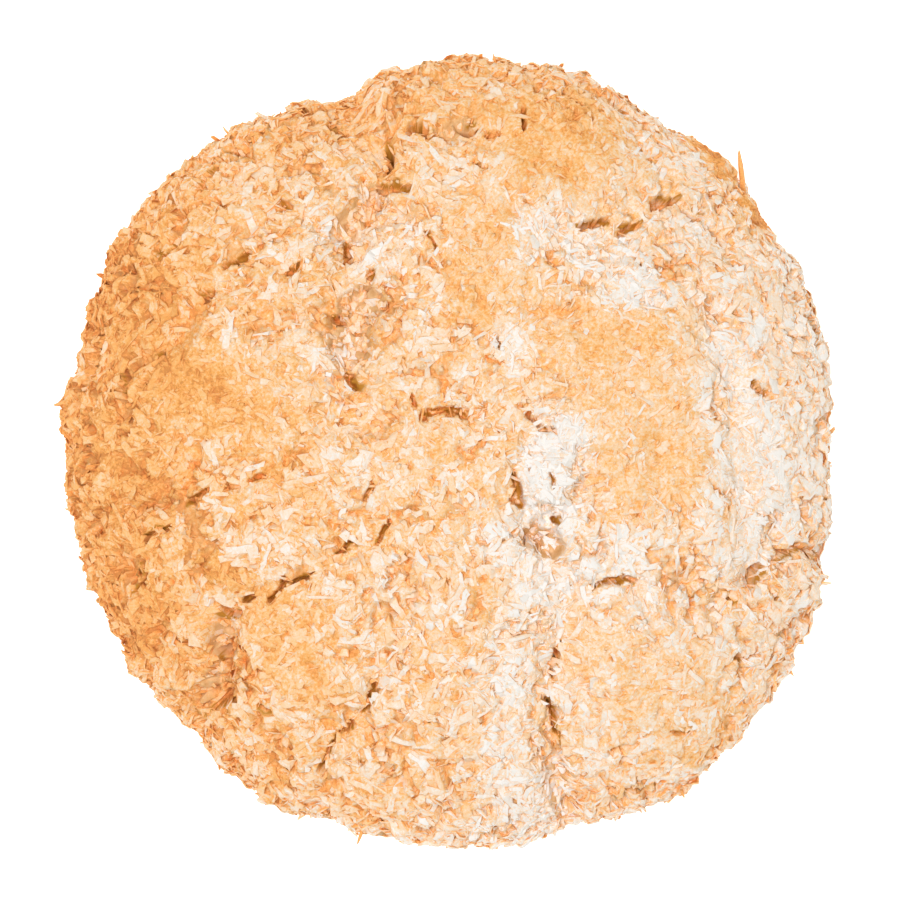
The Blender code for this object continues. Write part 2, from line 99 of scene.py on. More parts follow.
# Cracks: half width, depth, points along the crack.
CRACKS = [
    # The torn valley from the top of the rim to the middle.
    (0.8, 1.2, [(-13.2, 36.2), (-11.2, 35.4)]), (1.2, 2.6, [(-6.3, 33.6), (-6.1, 31.6)]),
    (1.2, 1.6, [(-6.6, 29.2), (-3.9, 28.8)]), (1.5, 1.5, [(-8, 28), (-9.6, 26), (-11, 24.6)]),
    (0.8, 2.2, [(-10.8, 22.8), (-10.7, 20.6)]), (1.1, 1.7, [(-8.1, 19.8), (-8.4, 19)]),
    (0.6, 1.3, [(-2.3, 24), (-1, 22.7)]), (2.3, 1.9, [(-9.1, 16.3), (-10.3, 14), (-10.6, 11.4)]),
    (0.9, 1.8, [(-12.2, 15), (-11.4, 14.2)]), (0.8, 1.8, [(-11, 8.8), (-9.6, 7)]),
    # Round the browned lump at the top.
    (1, 2, [(-3.8, 35.5), (-2.2, 35.2)]), (1.3, 1.2, [(0.4, 34.8), (1.8, 35.2)]),
    (0.6, 1.8, [(2, 35.2), (3.2, 35.6)]), (0.5, 1.3, [(4.6, 34.8), (6.1, 34.6)]),
    (0.7, 2, [(8.4, 35.4), (8.7, 37.6)]), (0.5, 1.2, [(3, 31.2), (4.6, 30.8)]),
    # The valley at the upper right.
    (1, 1.9, [(14.6, 24.9), (16.2, 25.4), (17.6, 25)]), (1, 2, [(19.4, 24.4), (21.2, 25.2)]),
    (1, 2, [(23, 27.6), (25.8, 28)]), (0.7, 1.5, [(26.6, 26.8), (28.2, 25.8)]),
    (0.7, 1.5, [(20.9, 21), (22.2, 20)]),
    # The fold at the right, and from the rim below it.
    (0.9, 1.4, [(33.6, 7.6), (34.6, 6.4)]), (1, 1.4, [(36.8, 14), (38, 12.8)]),
    (0.8, 2, [(43, -11.6), (38.6, -10.4), (36.2, -11.6)]), (1.5, 3.4, [(45, -12), (41.4, -11.4)]),
    (1.2, 2.8, [(34.8, -12.8), (33.6, -14.4)]), (0.5, 1.4, [(35.2, -14.8), (36.3, -15.5)]),
    (0.8, 1.6, [(32.1, -15.8), (31, -16.7)]), (0.8, 1.2, [(31.6, -22.6), (34.4, -22.3)]),
    (0.7, 1, [(24.6, -30.3), (27, -30.1)]), (0.7, 1.2, [(20.6, -36.2), (22.4, -36.2)]),
    # The longest crack, at the lower left.
    (0.8, 1.6, [(-24.6, -17.2), (-22.8, -17.7)]), (1.2, 2.2, [(-22, -15.9), (-21.3, -15.7)]),
    (0.6, 2.8, [(-19.5, -16), (-18, -14.8), (-17.6, -14.1), (-16.5, -14.5), (-16.2, -13.9), (-14.3, -13.3)]),
    (0.5, 2.4, [(-12.1, -11.2), (-11.4, -10.8), (-10.8, -10), (-9.9, -9.8)]),
    (0.7, 2, [(-7.5, -9.6), (-6.8, -8.2), (-6.4, -7.6)]),
    # Where it turns down towards the rim.
    (1.4, 1.2, [(-24.2, -19.6), (-24.6, -21.4)]), (0.9, 2, [(-24.8, -22.3), (-24.4, -23)]),
    (1.5, 1.2, [(-25.3, -24.6), (-26.2, -26.6)]),
    (0.8, 2, [(-26.2, -28.6), (-24.4, -27.6), (-22.9, -26.9)]), (0.5, 1.6, [(-21.2, -27.6), (-19, -28.5)]),
    (0.6, 2, [(-7.6, -25.6), (-8.4, -26.8), (-9.1, -28.6)]),
    (0.6, 1.8, [(-10.4, -30), (-12, -31), (-12.8, -32.5), (-13.5, -34.7)]),
    # The middle, and round the white lump.
    (0.6, 2, [(-3.7, 6), (-3.1, 5.1)]), (0.8, 1.8, [(-2.4, 4), (-2.1, 3.8)]),
    (0.6, 1.8, [(-1.7, 4.3), (0.1, 4.7), (1.1, 4.6), (2.3, 3.7)]), (0.5, 1.4, [(5.5, 2.4), (5.8, 2.3)]),
    (0.6, 1.6, [(8, 5.3), (8.6, 4.8)]), (0.7, 2, [(9.4, 4.1), (10, 3.2)]),
    (0.7, 1.8, [(10.4, 2.6), (12.2, 2.1)]), (0.7, 1.8, [(7.1, -2), (7.7, -3.7), (7.6, -5.3), (8.2, -6)]),
    (0.6, 1.4, [(11.7, -2.9), (11.9, -3.4)]), (0.8, 1.8, [(12, -7.2), (12.4, -7.8)]),
    (1.4, 1.8, [(9.8, -9.3), (11.4, -10.2)]), (0.7, 1.8, [(16, -14.9), (18, -13.6), (20.3, -13.9)]),
    (0.7, 2, [(12.4, -21), (11.4, -24.6)]), (0.7, 2, [(11, -26.6), (12.5, -31.6)]),
    (1.4, 1.6, [(12.4, -34.5), (12, -37), (13.5, -40)]),
    # Small ones in the left half.
    (0.7, 1.5, [(-8.3, -3.3), (-8.2, -5)]), (0.6, 1, [(5.4, 12.4), (5.9, 11)]),
    (1, 1.3, [(-18, 27.6), (-17.2, 26.6)]), (0.6, 1.6, [(-27, 16.8), (-25.4, 17.9)]),
    (0.7, 1.6, [(-24, 20.3), (-21.4, 21.6)]), (0.6, 1.6, [(-32, 21), (-29.8, 22.6)]),
    (0.6, 1.4, [(-27, 29), (-25.4, 31), (-24.8, 32.8)]), (0.9, 1.6, [(-31.4, 10.6), (-30.6, 10)]),
    (0.6, 1.5, [(-35.2, 9), (-34.8, 6.4)]), (0.8, 1.8, [(-28, -5.4), (-26, -4.1)]),
    (0.8, 1.8, [(-33, -9.8), (-31.8, -8.4), (-30.4, -8)]),
    (0.6, 1.5, [(-33, -12), (-33.3, -14.4), (-34.4, -15.4)]), (0.5, 1.3, [(-21.6, -2.9), (-19.6, -2.5)]),
    (0.7, 1.3, [(-17.5, 19.5), (-15.4, 20.6)]),
]
CRACK_NARROWING = 0.4  # crumbs close a narrow crack to this share of its width
TEAR_AT_FOOT = 0.35  # share of its depth that a valley or crack keeps at the foot of the side
TEAR_FADE = (3, 11)  # the heights over which it deepens

# Unevenness, as steps of a wavelength and a strength, with a shift so that no two kinds are alike.
NOISE_GAIN = 1.6  # brings noise to about -1 to 1
SOFT_LUMPS = [(9.0, 0.45), (4.2, 0.35)]
CRUMB = [(1.1, 0.10), (0.6, 0.07)]
CRACK_WANDER, CRACK_SHIFTS = [(1.8, 0.45), (0.8, 0.15)], (40, 80)
PLACE_WANDER, PLACE_SHIFTS = [(5.0, 1.6), (1.6, 0.9)], (120, 160)
TOAST_PATCHES, TOAST_SHIFT = [(7.0, 0.05), (2.6, 0.11), (1.1, 0.09)], 200
RIM_WANDER, RIM_SHIFT = [(5.0, 0.35), (2.2, 0.35)], 400
RIM_HEIGHT = (5, 10)  # the heights over which the rim's straying ends

# The dough's mesh, and the crumb that only the visual model has.
DOUGH_RINGS = 160
REFINED = 0.92  # triangles at the cracks are split once more, up to this share of the way to the base
REFINED_DEPTH = 0.02  # where the crack is deeper than this
UNDERSIDE_RINGS = 6
UNDERSIDE_PITS = (2.0, 0.15)  # wavelength and depth
CRUMB_LEVELLING = 0.5  # share of the crumb's height that smooth places lack
SMOOTH_LEVELLING = 0.8  # share of the clumps' height that they lack
CLUMPS = [(3.4, 0.5, 0.25), (1.7, 0.25, 0.15)]  # size of the clumps, their rise, depth between them
CLUMP_MIDDLE = 0.28  # keeps them about as high as the crust
CLUMP_STRAY, CLUMP_WAVELENGTH = 0.3, 1.5  # how far their edges stray, as a share of their size
CLUMP_SHIFTS = (0, 30, 60)
CREASE_WIDTH = 0.2  # between two clumps, as a share of their size
SIDE_CLUMPS = 0.7  # added share of their height at the side
SIDE_CLUMP_FADE = (4, 14)  # the heights over which that is lost
GAP_DEPTH, GAP_WIDTH = 0.9, 0.16  # between two clumps that stand apart, the width as a share of their size
GAP_PATCHES, GAP_SHIFT = 4.2, 600  # wavelength of the places where they stand apart
GAP_EDGES = (0.1, 0.6)  # the noise over which they part
PIT_DEPTH = 0.7  # of the small pits between shreds
PIT_SPACING, PIT_SHIFT = 1.3, 500
PIT_EDGES = (0.66, 0.9)  # the noise over which a pit deepens

# Colours. Toast is how brown the dough and coconut are: 0 is raw and white, 1 is toasted orange.
# Some of the toast below is painted shade, as marked at each place.
WIDE_CRACK = 1.3  # a crack of at least this half width shows the pale inside of the dough
WIDE_SHOWS = (0.3, 1.2)  # the depths over which a wide crack takes on its colour
CREVICE_SHOWS, CREVICE_WIDTH = (0.4, 1.2), 0.9  # the same for the painted shade of narrow ones, and the share of their width that has it
GAP_SHOWS = (0.3, 0.8)  # the same for the gaps between clumps
GAP_TORN, GAP_CREVICE_SHADE = 0.3, 0.15  # shares of the torn dough's colour and of the crevices' painted shade there
DOUGH_TOAST = 0.08  # how much browner the dough is than the coconut on it
DOUGH_PALENESS = 0.55  # share of the coconut's paleness that the dough has
UNDERSIDE_TOAST = 0.62  # evenly browned by the baking sheet
BROWN_EVENING = 0.85  # share of the difference between coconut and dough that is lost where both are brown
BROWN_TOAST = (0.6, 1.0)  # the toast over which it is lost
VALLEY_SHADE = 0.05  # painted shade: toast added for each millimetre of a valley's depth
HOLLOW_SHADE = 0.55  # painted shade: toast added for each millimetre that the dough's crumb lies deeper, and painted light where it stands higher
DEEPEST_SHADED = 0.3  # a deeper hollow is no darker, and a higher crumb no paler, than this
EDGE_TOAST_AND_SHADE = 0.28  # how much browner a shred's underside and foot are than the dough: painted shade under it, partly a toasted edge
TOAST_MIDDLE = 0.43
TOAST_SLOPE = -0.0045  # for each millimetre towards +X
SIDE_PALENESS = 0.05  # how much less toast the foot of the side has
SIDE_HEIGHT = 9  # where the side begins
# Browner places: radius, added toast, points along the place.
BROWNER = [
    (11, 0.25, [(-38, 14), (-40, 2), (-37, -12)]), (7, 0.14, [(-31, 27), (-37, 18)]),
    (7, 0.18, [(-14, 36), (-8, 39), (3, 40), (14, 37)]), (6, 0.2, [(12, 33)]),
    (5, 0.24, [(-28, 8), (-22, 5)]), (2.5, 0.16, [(11, 13.6), (16, 12.4), (22, 11.4)]),
    (4, 0.18, [(3, 24), (5, 16)]), (4, 0.19, [(-18, -18), (-15, -26)]), (5, 0.13, [(22, -24), (28, -30)]),
    (4, 0.04, [(-8, -38), (-3, -39)]), (7, 0.17, [(19, 12), (23, -1)]), (6, 0.1, [(-34, -19), (-26, -26)]),
    (1.2, 0.3, [(-17.5, -0.7)]), (1.4, 0.3, [(-22.5, -13), (-26, -12.2)]), (1.6, 0.3, [(-19, -34)]),
    (1.6, 0.3, [(-33.5, -22)]), (1.1, 0.85, [(26.9, 35.2), (31.7, 30.7)]),
    (1, 0.85, [(33.9, 28), (35.8, 24.6)]),
]
# Paler places, the same way.
PALER = [
    (3.8, 1, [(11, 0.5), (11.8, -5)]), (3, 0.52, [(10, 24.2), (16.3, 22), (19, 19.5)]),
    (2.8, 0.75, [(21.4, 16.8)]), (2.6, 0.5, [(26.5, 25)]), (1.9, 0.55, [(8, 13.5), (6.5, 10.5)]),
    (2.3, 0.6, [(-8.4, 20.5), (-8.8, 18)]), (1.6, 0.4, [(-14.6, 23), (-12, 22.4)]),
    (2.4, 0.3, [(-5.5, 26.5), (-4, 23.5)]), (2.4, 0.36, [(-12.5, 10.5), (-10, 7)]),
    (3.4, 0.42, [(31.2, 12), (32.6, 4), (32.8, -4), (32, -12)]),
    (3.8, 0.5, [(7, -11), (14, -12.5), (19, -12)]), (5, 0.16, [(12, -8), (18, -14), (24, -19)]),
    (4, 0.46, [(10, -18), (8, -26), (8, -33), (9, -41)]), (2.6, 0.25, [(13.5, -27), (13.5, -33)]),
    (7, 0.18, [(38, 14), (39, 4), (39, -6)]), (6, 0.1, [(-8, -16), (-2, -30)]),
    (5, 0.06, [(-14, -41), (-4, -42)]), (4.5, 0.22, [(0, -42), (12, -41)]),
]
# Smooth places, where the coconut lies flush in the dough, the same way.
SMOOTH = [
    (8, 0.9, [(19, 11), (22, 0)]), (6, 0.9, [(10, 33), (16, 31)]), (5, 0.8, [(3.5, 24), (6, 16)]),
    (6, 0.8, [(-26, 7), (-20, 5)]), (4, 0.6, [(-18, -18), (-15, -25)]), (6, 0.7, [(20, -22), (27, -28)]),
    (5, 0.5, [(-2, -1), (3, -4)]), (4, 0.5, [(-2, 39), (4, 38)]),
    (2.6, 0.8, [(31.5, 11), (32.5, 2), (33, -9)]), (1.2, 1, [(26.8, 35), (31.5, 30.4)]),
    (1.1, 1, [(33.8, 27.8), (35.6, 24.4)]),
]

# Camera and photograph.
PHOTO_PIXEL = 0.11  # millimetres to a pixel of the photograph
PHOTO_SIDE = 900
PHOTO_CENTRE = (446, 452.5)  # the pixel over the origin
CAMERA_HEIGHT = 1200
SENSOR = 36


def smoothstep(low, high, value):
    """0 below low, 1 above high, and a smooth rise between them."""
    t = np.clip((value - low) / (high - low), 0, 1)
    return t * t * (3 - 2 * t)


def outline_radius(angle):
    """Radius of the widest ring at each angle."""
    x, y = np.array(OUTLINE).T
    corner_angle = np.arctan2(y, x) % (2 * np.pi)
    place = np.mod(angle, 2 * np.pi)
    spread = np.linspace(-1, 1, ROUNDING_SAMPLES) * OUTLINE_ROUNDING
    radii = [np.interp(place + turn, corner_angle, np.hypot(x, y), period=2 * np.pi) for turn in spread]
    return sum(radii) / len(radii)


def side_profile(steps=PROFILE_STEPS):
    """The dome's side from crown to base: share of the radius, height, share of the way along it."""
    turn = np.linspace(0, np.pi / 2, steps)
    radius = np.sin(turn) ** (2 / DOME_POWER)
    height = WAIST_HEIGHT + (CROWN_HEIGHT - WAIST_HEIGHT) * np.cos(turn)
    foot = 1 - FOOT_INSET / MEAN_RADIUS * (1 - np.cos(turn[1:]))
    radius = np.concatenate([radius, foot])
    height = np.concatenate([height, WAIST_HEIGHT * (1 - np.sin(turn[1:]))])
    arc = np.concatenate([[0], np.cumsum(np.hypot(np.diff(radius * MEAN_RADIUS), np.diff(height)))])
    return radius, height, arc / arc[-1]


def dome_points(angle, arc_share):
    """Points on the smooth dome, with the outward direction at each."""
    radius, height, arc = side_profile()
    share = np.interp(arc_share, arc, radius)
    rim = outline_radius(angle)
    level = np.interp(arc_share, arc, height)
    points = np.stack([share * rim * np.cos(angle), share * rim * np.sin(angle), level], -1)
    step = 1 / len(arc)
    wider = np.interp(arc_share + step, arc, radius) - np.interp(arc_share - step, arc, radius)
    lower = np.interp(arc_share + step, arc, height) - np.interp(arc_share - step, arc, height)
    out = np.stack([-lower * np.cos(angle), -lower * np.sin(angle), wider * rim], -1)
    return points, out / np.linalg.norm(out, axis=-1, keepdims=True)


def distance_to_line(spots, line):
    """Distance in plan from each spot to a line of points."""
    nearest = np.linalg.norm(spots - np.array(line[0], float), axis=1)
    for start, end in zip(line[:-1], line[1:]):
        start, run = np.array(start, float), np.subtract(end, start)
        along = np.clip((spots - start) @ run / (run @ run), 0, 1)
        nearest = np.minimum(nearest, np.linalg.norm(spots - start - along[:, None] * run, axis=1))
    return nearest


def soft_noise(points, wavelength):
    """Smooth unevenness from about -1 to 1 over a wavelength."""
    return np.array([noise.noise(Vector(p) / wavelength) for p in points]) * NOISE_GAIN


def uneven(points, steps, shift=0):
    """Unevenness at each point, in steps of a wavelength and a strength."""
    return sum(strength * soft_noise(points + shift, wavelength) for wavelength, strength in steps)


def strayed(points, steps, shifts):
    """Where each point is in plan, moved about so that the edges of a place wander."""
    return points[:, :2] + np.stack([uneven(points, steps, shift) for shift in shifts], -1)


def strokes(spots, places, power=4):
    """The strength at each spot of places with soft edges: half width, strength, points along each."""
    total = np.zeros(len(spots))
    for half_width, strength, line in places:
        total += strength * np.exp(-((distance_to_line(spots, line) / half_width) ** power))
    return total


def lumps(points):
    """The raised islands of the crust and its softer unevenness."""
    height = uneven(points, SOFT_LUMPS)
    for x, y, radius, rise in ISLANDS:
        away = np.hypot(points[:, 0] - x, points[:, 1] - y) / radius
        height += rise * (1 - smoothstep(*ISLAND_EDGE, away))
    return height


def running_out(points):
    """The share of its depth that a valley or crack keeps, as it runs out down the side."""
    return TEAR_AT_FOOT + (1 - TEAR_AT_FOOT) * smoothstep(*TEAR_FADE, points[:, 2])


def valleys(points):
    """Depth of the broad valleys."""
    return strokes(points[:, :2], VALLEYS, power=2) * running_out(points)


def cracks(points, least_width=0.0, share=1.0):
    """Depth of the cracks that have at least this half width, each over this share of its width."""
    wide = [crack for crack in CRACKS if crack[0] >= max(least_width, WIDE_CRACK)]
    narrow = [crack for crack in CRACKS if least_width <= crack[0] < WIDE_CRACK]
    places = [(width * share, depth, line) for width, depth, line in wide]
    places += [(width * CRACK_NARROWING * share, depth, line) for width, depth, line in narrow]
    return strokes(strayed(points, CRACK_WANDER, CRACK_SHIFTS), places) * running_out(points)


def smoothness(points):
    """1 where the coconut lies flush in smooth dough, 0 where it is loose."""
    return np.clip(strokes(points[:, :2], SMOOTH), 0, 1)


def clump_distances(points, size):
    """Distance to the middles of the nearest two clumps, in clump sizes."""
    stray = np.stack([soft_noise(points + shift, CLUMP_WAVELENGTH) for shift in CLUMP_SHIFTS], -1)
    moved = (points + CLUMP_STRAY * size * stray) / size
    return np.array([noise.voronoi(Vector(p))[0][:2] for p in moved]).T


def clumps(points):
    """Height of the crumbly clumps of coconut and dough, with creases between them."""
    height = np.full(len(points), CLUMP_MIDDLE)
    for size, dome, crease in CLUMPS:
        near, next_near = clump_distances(points, size)
        height -= dome * near**2 + crease * np.exp(-(((next_near - near) / CREASE_WIDTH) ** 2))
    height *= 1 + SIDE_CLUMPS * (1 - smoothstep(*SIDE_CLUMP_FADE, points[:, 2]))
    return height * (1 - SMOOTH_LEVELLING * smoothness(points))


def pits(points):
    """Depth of the gaps between clumps and of the pits between shreds, where the dough shows."""
    near, next_near = clump_distances(points, CLUMPS[0][0])
    parted = smoothstep(*GAP_EDGES, soft_noise(points + GAP_SHIFT, GAP_PATCHES))
    gaps = GAP_DEPTH * parted * np.exp(-(((next_near - near) / GAP_WIDTH) ** 4))
    holes = PIT_DEPTH * smoothstep(*PIT_EDGES, soft_noise(points + PIT_SHIFT, PIT_SPACING))
    return np.maximum(gaps, holes) * (1 - SMOOTH_LEVELLING * smoothness(points))


def relief(points):
    """How far the crust stands out from the smooth dome. The edge of the base stays put."""
    height = lumps(points) - valleys(points) - cracks(points) + clumps(points) - pits(points)
    height += uneven(points, RIM_WANDER, RIM_SHIFT) * (1 - smoothstep(*RIM_HEIGHT, points[:, 2]))
    return height * smoothstep(0.0, WAIST_HEIGHT, points[:, 2])


def crust_points(angle, arc_share):
    """Points on the finished crust, with the smooth dome's outward direction at each."""
    points, out = dome_points(angle, arc_share)
    return points + out * relief(points)[:, None], out


def crust_near(points):
    """The crust's point nearest to each of these, with the outward direction there."""
    radius, height, arc = side_profile(SEARCH_STEPS)
    angle = np.arctan2(points[:, 1], points[:, 0])
    out_share = np.linalg.norm(points[:, :2], axis=1) / outline_radius(angle)
    away = np.hypot((out_share[:, None] - radius) * MEAN_RADIUS, points[:, 2, None] - height)
    return crust_points(angle, arc[away.argmin(axis=1)])


def toast(points):
    """How brown the cookie is at each point, with painted shade on the valley floors, before its paler
    places.
    """
    level = TOAST_MIDDLE + TOAST_SLOPE * points[:, 0] + uneven(points, TOAST_PATCHES, TOAST_SHIFT)
    level += strokes(strayed(points, PLACE_WANDER, PLACE_SHIFTS), BROWNER) + VALLEY_SHADE * valleys(points)
    return level - SIDE_PALENESS * (1 - smoothstep(0, SIDE_HEIGHT, points[:, 2]))


def paleness(points):
    """How much less toasted the coconut is at each point."""
    return strokes(strayed(points, PLACE_WANDER, PLACE_SHIFTS), PALER)


def dough_toast(points):
    """How brown the dough itself is at each point."""
    return toast(points) + DOUGH_TOAST - DOUGH_PALENESS * paleness(points)


def ring_grid(rings):
    """Angles and arc shares of a disc of rings, ring k with 6k points, and its triangles."""
    angles, shares, triangles = [0.0], [0.0], []
    for ring in range(1, rings + 1):
        first, count, inner_count = len(angles), 6 * ring, max(1, 6 * ring - 6)
        angles += [2 * math.pi * k / count for k in range(count)]
        shares += [ring / rings] * count
        for k in range(count):
            sector, place = divmod(k, ring)
            inward = sector * (ring - 1) + place
            inner, inner_after = (first - inner_count + (inward + step) % inner_count for step in (0, 1))
            after = first + (k + 1) % count
            triangles.append((first + k, after, inner))
            if place < ring - 1:
                triangles.append((after, inner_after, inner))
    return np.array(angles), np.array(shares), triangles


def refined_disc(rings):
    """The disc of rings with its triangles at the cracks split once more."""
    angles, shares, triangles = ring_grid(rings)
    disc = bmesh.new()
    for angle, share in zip(angles, shares):
        disc.verts.new((share * math.cos(angle), share * math.sin(angle), 0))
    disc.verts.ensure_lookup_table()
    for triangle in triangles:
        disc.faces.new([disc.verts[corner] for corner in triangle])
    disc.verts.index_update()
    near = (cracks(dome_points(angles, shares)[0]) > REFINED_DEPTH) & (shares < REFINED)
    split = [edge for edge in disc.edges if any(near[corner.index] for corner in edge.verts)]
    bmesh.ops.subdivide_edges(disc, edges=split, cuts=1)
    bmesh.ops.triangulate(disc, faces=disc.faces[:])
    disc.verts.index_update()
    x, y, _ = np.array([corner.co[:] for corner in disc.verts]).T
    triangles = [[corner.index for corner in face.verts] for face in disc.faces]
    disc.free()
    return np.arctan2(y, x), np.minimum(np.hypot(x, y), 1), triangles


def add_tone(mesh, values):
    """Stores three numbers for each point of a mesh, for its material to read."""
    colours = np.ones((len(mesh.vertices), 4), np.float32)
    colours[:, :3] = values
    attribute = mesh.color_attributes.new("tone", "FLOAT_COLOR", "POINT")
    attribute.data.foreach_set("color", colours.ravel())


def make_piece(name, points, faces, material, tone, smooth=False):
    """A named piece from points in millimetres, which rides with the cookie."""
    mesh = bpy.data.meshes.new(name)
    mesh.from_pydata((points.reshape(-1, 3) * MM).tolist(), [], faces, shade_flat=not smooth)
    add_tone(mesh, tone.reshape(-1, 3))
    mesh.materials.append(material)
    piece = bpy.data.objects.new(name, mesh)
    bpy.context.scene.collection.objects.link(piece)
    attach(piece, BODY)
    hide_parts(NODE)
    return piece


def crumbed_crust():
    """Points and triangles of the crust with its crumb, and how deep the crumb lies."""
    angles, shares, triangles = refined_disc(DOUGH_RINGS)
    points, out = crust_points(angles, shares)
    crumb = uneven(points, CRUMB)
    depth = -crumb - clumps(points)
    crumb *= (1 - CRUMB_LEVELLING * smoothness(points)) * smoothstep(0.0, WAIST_HEIGHT, points[:, 2])
    return points + out * crumb[:, None], triangles, depth


def underside(points, ring):
    """Points and triangles of the base, ring by ring from the crust's lowest ring to the middle."""
    rim, total = points[ring], len(points)
    wavelength, deepest = UNDERSIDE_PITS
    parts, triangles = [], []
    for step in range(1, UNDERSIDE_RINGS):
        inner = rim * [1 - step / UNDERSIDE_RINGS, 1 - step / UNDERSIDE_RINGS, 0]
        inner[:, 2] = deepest * np.clip(soft_noise(inner, wavelength), 0, 1)
        parts.append(inner)
        after = np.arange(total, total + len(rim))
        triangles += np.stack([np.roll(ring, -1), ring, after], -1).tolist()
        triangles += np.stack([np.roll(ring, -1), after, np.roll(after, -1)], -1).tolist()
        ring = after
        total += len(rim)
    parts.append(np.zeros((1, 3)))
    triangles += np.stack([np.roll(ring, -1), ring, np.full(len(rim), total)], -1).tolist()
    return np.concatenate(parts), triangles


def crust_tone(points, depth):
    """Toast, share of torn dough and share of the crevices' painted shade at each point."""
    wide = cracks(points, WIDE_CRACK)
    narrow = cracks(points, 0, CREVICE_WIDTH) - cracks(points, WIDE_CRACK, CREVICE_WIDTH)
    gap = smoothstep(*GAP_SHOWS, pits(points))
    above_foot = smoothstep(0.0, WAIST_HEIGHT, points[:, 2])
    # Painted shade in the crumb's hollows, and painted light on its raised bits.
    level = dough_toast(points) + HOLLOW_SHADE * np.clip(depth, -DEEPEST_SHADED, DEEPEST_SHADED)
    torn = np.minimum(smoothstep(*WIDE_SHOWS, wide) + GAP_TORN * gap, 1) * above_foot
    # Painted shade: a dark brown at the bottom of narrow cracks and of the gaps between clumps.
    crevice_shade = (smoothstep(*CREVICE_SHOWS, narrow) + GAP_CREVICE_SHADE * gap) * above_foot
    return np.stack([level, torn, crevice_shade], -1)


def make_dough(material):
    """The dough: the crust with its crumb, closed by the flat underside."""
    points, triangles, depth = crumbed_crust()
    rim_end = 1 + 3 * DOUGH_RINGS * (DOUGH_RINGS + 1)
    below, closing = underside(points, np.arange(rim_end - 6 * DOUGH_RINGS, rim_end))
    tone = np.concatenate([crust_tone(points, depth), np.tile([UNDERSIDE_TOAST, 0.0, 0.0], (len(below), 1))])
    points = np.concatenate([points, below])
    return make_piece("dough", points, triangles + closing, material, tone, smooth=True)


def random_places(draw, count, density):
    """Angles and arc shares of random places on the crust, with this density."""
    radius, _, arc = side_profile()
    area = np.concatenate([[0], np.cumsum((radius[1:] + radius[:-1]) / 2 * np.diff(arc))])
    angles, shares = [], []
    while sum(map(len, angles)) < count:
        share = np.interp(draw.random(2 * count), area / area[-1], arc)
        angle = draw.uniform(0, 2 * np.pi, 2 * count)
        points, _ = dome_points(angle, share)
        keep = draw.random(2 * count) < density(points)
        angles.append(angle[keep])
        shares.append(share[keep])
    return np.concatenate(angles)[:count], np.concatenate(shares)[:count]


def turned(first, second, angle):
    """Two axes, turned by an angle from the first towards the second."""
    return np.cos(angle) * first + np.sin(angle) * second, np.cos(angle) * second - np.sin(angle) * first


def turned_frames(draw, angle, out, tilt, roll):
    """Axes of length, width and thickness for pieces turned at random."""
    round_way = np.stack([-np.sin(angle), np.cos(angle), np.zeros(len(angle))], -1)
    turn = draw.uniform(0, 2 * np.pi, len(angle))[:, None]
    rise = draw.normal(0, tilt, len(angle))[:, None]
    twist = draw.normal(0, roll, len(angle))[:, None]
    long_way, wide_way = turned(round_way, np.cross(out, round_way), turn)
    long_axis, normal = turned(long_way, out, rise)
    wide_axis, thick_axis = turned(wide_way, normal, twist)
    return long_axis, wide_axis, thick_axis


def between(draw, limits, count, lean=1.0):
    """Random sizes between two limits. A lean over 1 makes small ones more common."""
    low, high = limits
    return low + (high - low) * draw.random(count) ** lean


LOWEST = 0.04  # no coconut lies lower than this over the base
PALE_SHARE = (0.2, 0.9)  # in a pale place, each piece of coconut has this much of its paleness
SECTION = [(-1, -1), (1, -1), (1, 1), (-1, 1)]  # a strip cut across: its bottom corners, then its top corners
EDGE_STRAY = 0.18  # how far a strip's corners stray, as a share of its width
CORNER_STRAY = 0.3  # and along it, as a share of the gap between stations
SHRED_TOP = 0.85  # width of a shred's top, as a share of its width
LENGTH_LEAN, WIDTH_LEAN = 1.5, 1.3  # how much commoner short and narrow shreds are
WIDTH_STRAY = (0.8, 1.2)  # along a shred
THICKNESS_STRAY = (0.75, 1.25)  # from shred to shred
FLUSH_SHRINK = 0.35  # share of its size that a shred loses where the crust is smooth
FLUSH_SINK = 0.6  # and of its height over the crust
MELT_SPREAD = 0.4  # how far melting moves a shred's stations towards its ends
END_SLANT, MOST_SLANT = 0.6, 0.7  # the ends slant over at most this share of the length
BRIDGED_DEPTH = 1.0  # a crack less deep than this holds as many shreds as the crust round it


def strip_faces(count, stations):
    """Faces of this many strips, one closed skin each."""
    corners = len(SECTION)
    faces = [list(range(corners))[::-1], [corners * (stations - 1) + k for k in range(corners)]]
    for start in range(0, corners * (stations - 1), corners):
        for k in range(corners):
            after = (k + 1) % corners
            faces.append([start + k, start + after, start + corners + after, start + corners + k])
    firsts = np.arange(count)[:, None, None] * corners * stations
    return (firsts + np.array(faces)).reshape(-1, corners).tolist()


def own_toast(draw, centres, shift, spread):
    """How brown each piece of coconut is."""
    place = toast(centres)
    pale = paleness(centres) * draw.uniform(*PALE_SHARE, len(centres))
    change = shift + draw.normal(0, spread, len(centres))
    return place - pale + change * (1 - BROWN_EVENING * smoothstep(*BROWN_TOAST, place))


def strip_skins(draw, middle, axes, half_width, half_thick, slant, gap, top_share):
    """Corner points of strips along middle lines. gap is the length between two stations."""
    long_axis, wide_axis, thick_axis = (axis[:, None] for axis in axes)
    points = np.empty((*half_width.shape, len(SECTION), 3))
    for corner, (across, up) in enumerate(SECTION):
        stray_out, stray_up = draw.normal(0, EDGE_STRAY, (2, *half_width.shape))
        offset = across * half_width * (top_share if up > 0 else 1)
        along = slant * offset + CORNER_STRAY * gap[:, None] * draw.uniform(-1, 1, half_width.shape)
        rise = up * half_thick * (1 + stray_up)
        out = offset + stray_out * half_width
        points[:, :, corner] = (
            middle + along[..., None] * long_axis + out[..., None] * wide_axis + rise[..., None] * thick_axis
        )
    return points


